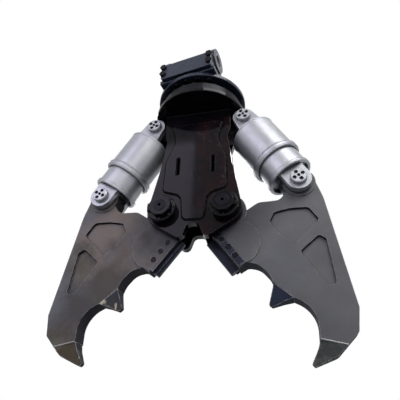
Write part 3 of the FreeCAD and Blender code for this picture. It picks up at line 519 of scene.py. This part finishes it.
def bead(name, lines, radius, slot, body, material=DARK_BEAD, step=0.0045, sides=7):
    """a rippled bead along lines of points"""
    height, sway, steep = 0.16, 0.10, 0.9
    made = bmesh.new()
    for points, closed in lines:
        spine = resample(points, closed, step)
        count = len(spine)
        if count < 3:
            continue
        rings = []
        for i, point in enumerate(spine):
            before = spine[i - 1] if closed or i > 0 else spine[i]
            after = spine[(i + 1) % count] if closed or i < count - 1 else spine[i]
            along = (after - before).normalized()
            lean = Vector((0, 0, 1)) if abs(along.z) < steep else Vector((0, 1, 0))
            side = along.cross(lean).normalized()
            up = side.cross(along)
            ripple = height if i % 2 else -height
            swell = radius * (1.0 + ripple + sway * (RANDOM.random() - 0.5))
            rings.append([made.verts.new(point + (side * math.cos(t) + up * math.sin(t)) * swell)
                          for t in (2 * math.pi * k / sides for k in range(sides))])
        pairs = zip(rings, rings[1:] + rings[:1]) if closed else zip(rings, rings[1:])
        for first, second in pairs:
            for k in range(sides):
                made.faces.new((first[k], first[(k + 1) % sides],
                                second[(k + 1) % sides], second[k]))
        if not closed:
            made.faces.new(reversed(rings[0]))
            made.faces.new(rings[-1])
    bmesh.ops.recalc_face_normals(made, faces=made.faces)
    add(name, made, slot, body, material, smooth=60)


# camera, worked out from the round pins and caps in the photograph

AZIMUTH, ELEVATION, ROLL = (math.radians(v) for v in (13.75, -31.95, 2.44))
DISTANCE = 2.2152
AIM = body_point(10.4, 0, 117.65)
PHOTO_WIDTH = 400
FOCAL_LENGTH = 384.47     # in pixels of the photograph
SENSOR = 36.0


def make_camera():
    back = Vector((math.sin(AZIMUTH) * math.cos(ELEVATION),
                   -math.cos(AZIMUTH) * math.cos(ELEVATION), math.sin(ELEVATION)))
    level = (-back).cross(Vector((0, 0, 1))).normalized()
    upright = level.cross(-back)
    right = math.cos(ROLL) * level + math.sin(ROLL) * upright
    up = -math.sin(ROLL) * level + math.cos(ROLL) * upright
    data = bpy.data.cameras.new("camera")
    data.sensor_width = SENSOR
    data.lens = SENSOR * FOCAL_LENGTH / PHOTO_WIDTH
    camera = bpy.data.objects.new("camera", data)
    bpy.context.scene.collection.objects.link(camera)
    turn = Matrix((right, up, back)).transposed()
    camera.matrix_world = Matrix.Translation(AIM + back * DISTANCE) @ turn.to_4x4()
    bpy.context.scene.camera = camera


make_camera()
bpy.context.scene.view_settings.view_transform = "Standard"


# lamps

def panel(name, place, target, size, power, colour=(1, 1, 1)):
    """a soft rectangular lamp at a place that shines at a target"""
    data = bpy.data.lights.new(name, "AREA")
    data.shape = "RECTANGLE"
    data.size, data.size_y = size
    data.energy = power
    data.color = colour
    lamp = bpy.data.objects.new(name, data)
    bpy.context.scene.collection.objects.link(lamp)
    lamp.location = place
    lamp.rotation_mode = "QUATERNION"
    lamp.rotation_quaternion = (target - place).to_track_quat("-Z", "Y")


MIDDLE = body_point(0, 0, 100)
panel("key", MIDDLE + Vector((2.3, -2.5, 3.2)), MIDDLE, (3.0, 2.4), 185)
panel("fill", MIDDLE + Vector((-3.4, -2.8, 0.9)), MIDDLE, (2.4, 2.4), 12, (0.93, 0.95, 1.0))
panel("front", body_point(1100, -3900, 1150), body_point(-100, 0, 300), (2.8, 1.5), 28)
panel("rear", MIDDLE + Vector((-1.2, 3.4, 2.4)), MIDDLE, (2.6, 2.6), 90)
# an upright panel that the glossy front of the frame mirrors on its left half
panel("sheen", body_point(-2095, -3000, 1765), body_point(-2095, 0, 1765), (2.6, 2.53), 72,
      (0.84, 0.80, 1.0))


# backdrop and floor

def shown(tree):
    """one for the rays that see the backdrop: camera, glossy and transmission rays"""
    path = tree.nodes.new("ShaderNodeLightPath")
    mirrored = calculate(tree, "MAXIMUM", path.outputs["Is Camera Ray"],
                         path.outputs["Is Glossy Ray"])
    return calculate(tree, "MAXIMUM", mirrored, path.outputs["Is Transmission Ray"])


def make_world():
    """white to look at; as a light, a dim sky that is brightest overhead"""
    world = bpy.data.worlds.new("world")
    bpy.context.scene.world = world
    world.use_nodes = True
    tree = world.node_tree
    height = axis_of(tree, coordinates(tree, "Generated"), "Z")
    low_sky = mix_colour(tree, ramp(tree, height, -0.3, 0.45), (0.035, 0.036, 0.045),
                         (0.12, 0.125, 0.15))
    sky = mix_colour(tree, ramp(tree, height, 0.80, 0.95), low_sky, (0.62, 0.70, 0.86))
    background = tree.nodes["Background"]
    link(tree, mix_colour(tree, shown(tree), sky, (1.0, 1.0, 1.0)), background.inputs["Color"])
    background.inputs["Strength"].default_value = 1.0


def make_floor(half=30, height=-2.75):
    """a floor that is pale to look at and darker for the light that it throws back

    It keeps its shadows near the part and runs out into the white of the backdrop.
    """
    mesh = bpy.data.meshes.new("floor")
    mesh.from_pydata([(-half, -half, 0), (half, -half, 0), (half, half, 0), (-half, half, 0)],
                     [], [(0, 1, 2, 3)])
    floor = bpy.data.objects.new("floor", mesh)
    bpy.context.scene.collection.objects.link(floor)
    floor.location = (0, 0, height)
    material, tree, shader = new_material("floor")
    seen = shown(tree)
    link(tree, mix_colour(tree, seen, (0.13, 0.13, 0.14), (0.80, 0.80, 0.80)),
         shader.inputs["Base Color"])
    shader.inputs["Roughness"].default_value = 0.8
    shader.inputs["Emission Color"].default_value = (1.0, 1.0, 1.0, 1.0)
    away = tree.nodes.new("ShaderNodeVectorMath")
    away.operation = "LENGTH"
    link(tree, coordinates(tree, "Object"), away.inputs[0])
    glow = ramp(tree, away.outputs["Value"], 1.5, 9.0, 0.22, 1.0)
    link(tree, multiply(tree, seen, glow), shader.inputs["Emission Strength"])
    mesh.materials.append(material)


make_world()
make_floor()


# rounded edges, by their width in metres

SOFT = {
    0.0035: ["left_jaw_plate", "right_jaw_plate", "frame_front_plate", "frame_rear_plate",
             "bracket_left_ear", "bracket_right_ear", "bracket_front_plate",
             "bracket_base_plate", "left_rod_fork", "right_rod_fork",
             "left_cylinder_base", "right_cylinder_base"],
    0.002: ["frame_doublers", "left_shear_blade", "right_shear_blade", "left_jaw_teeth",
            "right_jaw_teeth", "main_pin_collars", "bracket_rear_bar"],
    0.0012: ["main_pin_nuts", "nut_lock_plates", "collar_bolts", "front_plate_bolts",
             "left_blade_bolts", "right_blade_bolts", "main_pins"],
}
for width, names in SOFT.items():
    for name in names:
        soften(name, width)


# weld beads around the doublers

DOUBLER_WELD = 0.009
FRAME_FACES = {"front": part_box("frame_front_plate")[0].y, "rear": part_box("frame_rear_plate")[1].y}
for tag, face in FRAME_FACES.items():
    bead("doubler_weld_" + tag, rims("frame_doublers", Y, face), DOUBLER_WELD,
         "frame_paint", "shear_frame")


# fillet welds of the bracket ears on their base and of the frame under its flange

EAR_WELD = 0.006
EAR_WELD_STOP = 0.012     # how far the ends of the welds stay inside the ends of the ears
FRAME_WELD = 0.007
BASE_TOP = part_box("bracket_base_plate")[1].z
FRAME_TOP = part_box("frame_front_plate")[1].z
for node in ("bracket_left_ear", "bracket_right_ear"):
    bead(node + "_weld", shortened(rims(node, Z, BASE_TOP), EAR_WELD_STOP), EAR_WELD,
         "bracket_paint", body_of(node), MATERIALS["bracket_paint"])
for node in ("frame_front_plate", "frame_rear_plate", "frame_side_webs"):
    bead(node + "_weld", rims(node, Z, FRAME_TOP), FRAME_WELD, "frame_paint", body_of(node))


# fillet welds under the upper edges of the jaw pockets, black as painted shade: they stand only under
# walls that look down

POCKET_SHADE_BEAD = 0.0045
POCKET_DEPTH = 13


def is_upper_wall(normal):
    """true for a wall that looks down, which is at the upper edge of its pocket"""
    return normal.z < -0.3


for tag in ("right", "left"):
    for face, sign in (("front", -1), ("rear", 1)):
        bottom = SLEW.y + sign * (JAW_HALF - POCKET_DEPTH) / 1000
        # black beads only where the wall looks down: painted shade
        bead(tag + "_pocket_shade_bead_" + face,
             rims(tag + "_jaw_plate", Y, bottom, is_upper_wall), POCKET_SHADE_BEAD,
             "jaw_paint", body_of(tag + "_jaw_plate"))


# rolled rings on the cylinder shrouds and guards

# the distance of each ring below the upper pin and its radius, in millimetres
SHROUD_RINGS = (101, 139.5), (329, 140.5), (338, 146.5), (358, 146.5)
GUARD_RINGS = (473, 133.5), (485, 133.5)
SHROUD_BEAD = 0.0026
GUARD_BEAD = 0.0022
UPPER_PIN = (joint_place("right_barrel_swing") - PIVOT_MIDDLE) * 1000
CYLINDER_AXIS = Vector(JOINTS["right_rod_stroke"]["axis"])


def around_cylinder(side, distance, radius, count=96):
    """a ring of points around the right cylinder, or for side -1 around the left one"""
    across = Vector((-CYLINDER_AXIS.z, 0, CYLINDER_AXIS.x))
    centre = UPPER_PIN + CYLINDER_AXIS * distance
    ring = []
    for k in range(count):
        angle = 2 * math.pi * k / count
        spot = centre + (across * math.cos(angle) + Vector((0, math.sin(angle), 0))) * radius
        ring.append(body_point(side * spot.x, spot.y, spot.z))
    return ring, True


for side, tag in ((1, "right"), (-1, "left")):
    bead(tag + "_shroud_rings", [around_cylinder(side, *ring) for ring in SHROUD_RINGS],
         SHROUD_BEAD, "silver_paint", body_of(tag + "_cylinder_shroud"),
         MATERIALS["silver_paint"])
    bead(tag + "_guard_rings", [around_cylinder(side, *ring) for ring in GUARD_RINGS],
         GUARD_BEAD, "silver_paint", body_of(tag + "_rod_guard"), MATERIALS["silver_paint"])


# dark rings around the sunk screws and the grease hole of every pin cap

LARGEST_HOLE = 0.012      # radius of the largest hole that gets a ring
HOLE_RING = 0.0016


def screw_rings(node):
    heights = [v.co.y for v in nodes[node].data.vertices]
    rings = []
    for face in (min(heights), max(heights)):
        for points, closed in rims(node, Y, face):
            centre = sum(points, Vector()) / len(points)
            radius = sum((p - centre).length for p in points) / len(points)
            if closed and radius <= LARGEST_HOLE:
                wider = (radius + HOLE_RING) / radius
                rings.append(([centre + (p - centre) * wider for p in points], True))
    bead(node + "_rings", rings, HOLE_RING, "silver_paint", body_of(node), OILED, step=0.003)


for node in ("upper_pin_caps", "left_lower_pin", "right_lower_pin"):
    screw_rings(node)


# the dark strip around the bolt heads of the right blade

# In millimetres. STRIP and BOLTS are counted from the top of the cutting edge, along it and
# into the jaw.
BLADE_TOP = Vector((57, -169))
BLADE_ALONG = Vector((0.6, -0.8))
BLADE_INTO = Vector((0.8, 0.6))
STRIP = (-6, 49), (226, 49), (226, 88), (-6, 88)
BOLTS = (52, 72), (110, 72), (168, 72)
BOLT_HOLE = 17
STRIP_THICKNESS = 1.8
STRIP_SINK = 0.2          # how deep it sits in the jaw's blade pad


def blade_strip(name, y, thickness, corners=28):
    """a thin plate with a hole around each bolt head"""
    outlines = [STRIP]
    for a, b in BOLTS:
        outlines.append([(a + BOLT_HOLE * math.cos(t), b + BOLT_HOLE * math.sin(t))
                         for t in (2 * math.pi * k / corners for k in range(corners))])
    made = bmesh.new()
    edges = []
    for outline in outlines:
        spots = [BLADE_TOP + BLADE_ALONG * a + BLADE_INTO * b for a, b in outline]
        loop = [made.verts.new(body_point(spot.x, y, spot.y)) for spot in spots]
        edges += [made.edges.new(pair) for pair in zip(loop, loop[1:] + loop[:1])]
    bmesh.ops.triangle_fill(made, use_beauty=True, edges=edges)
    grown = bmesh.ops.extrude_face_region(made, geom=made.faces[:])
    bmesh.ops.translate(made, vec=(0, -thickness / 1000, 0),
                        verts=[v for v in grown["geom"] if isinstance(v, bmesh.types.BMVert)])
    bmesh.ops.recalc_face_normals(made, faces=made.faces)
    add(name, made, "tool_steel", body_of("right_jaw_plate"), BLUE_STEEL, smooth=None)


blade_strip("right_blade_strip", STRIP_SINK - PAD_HALF, STRIP_THICKNESS)


# the welded seams of the jaw tips, on both faces

SEAM = (690, -692), (579, -667)      # the ends of the right one, across and up, in millimetres
TIP_WELD = 0.0035
for side, tag in ((1, "right"), (-1, "left")):
    seams = [([body_point(side * x, y, z) for x, z in SEAM], False)
             for y in (-JAW_HALF, JAW_HALF)]
    bead(tag + "_tip_weld", seams, TIP_WELD, "jaw_paint", body_of(tag + "_jaw_plate"),
         BRIGHT_WELD)
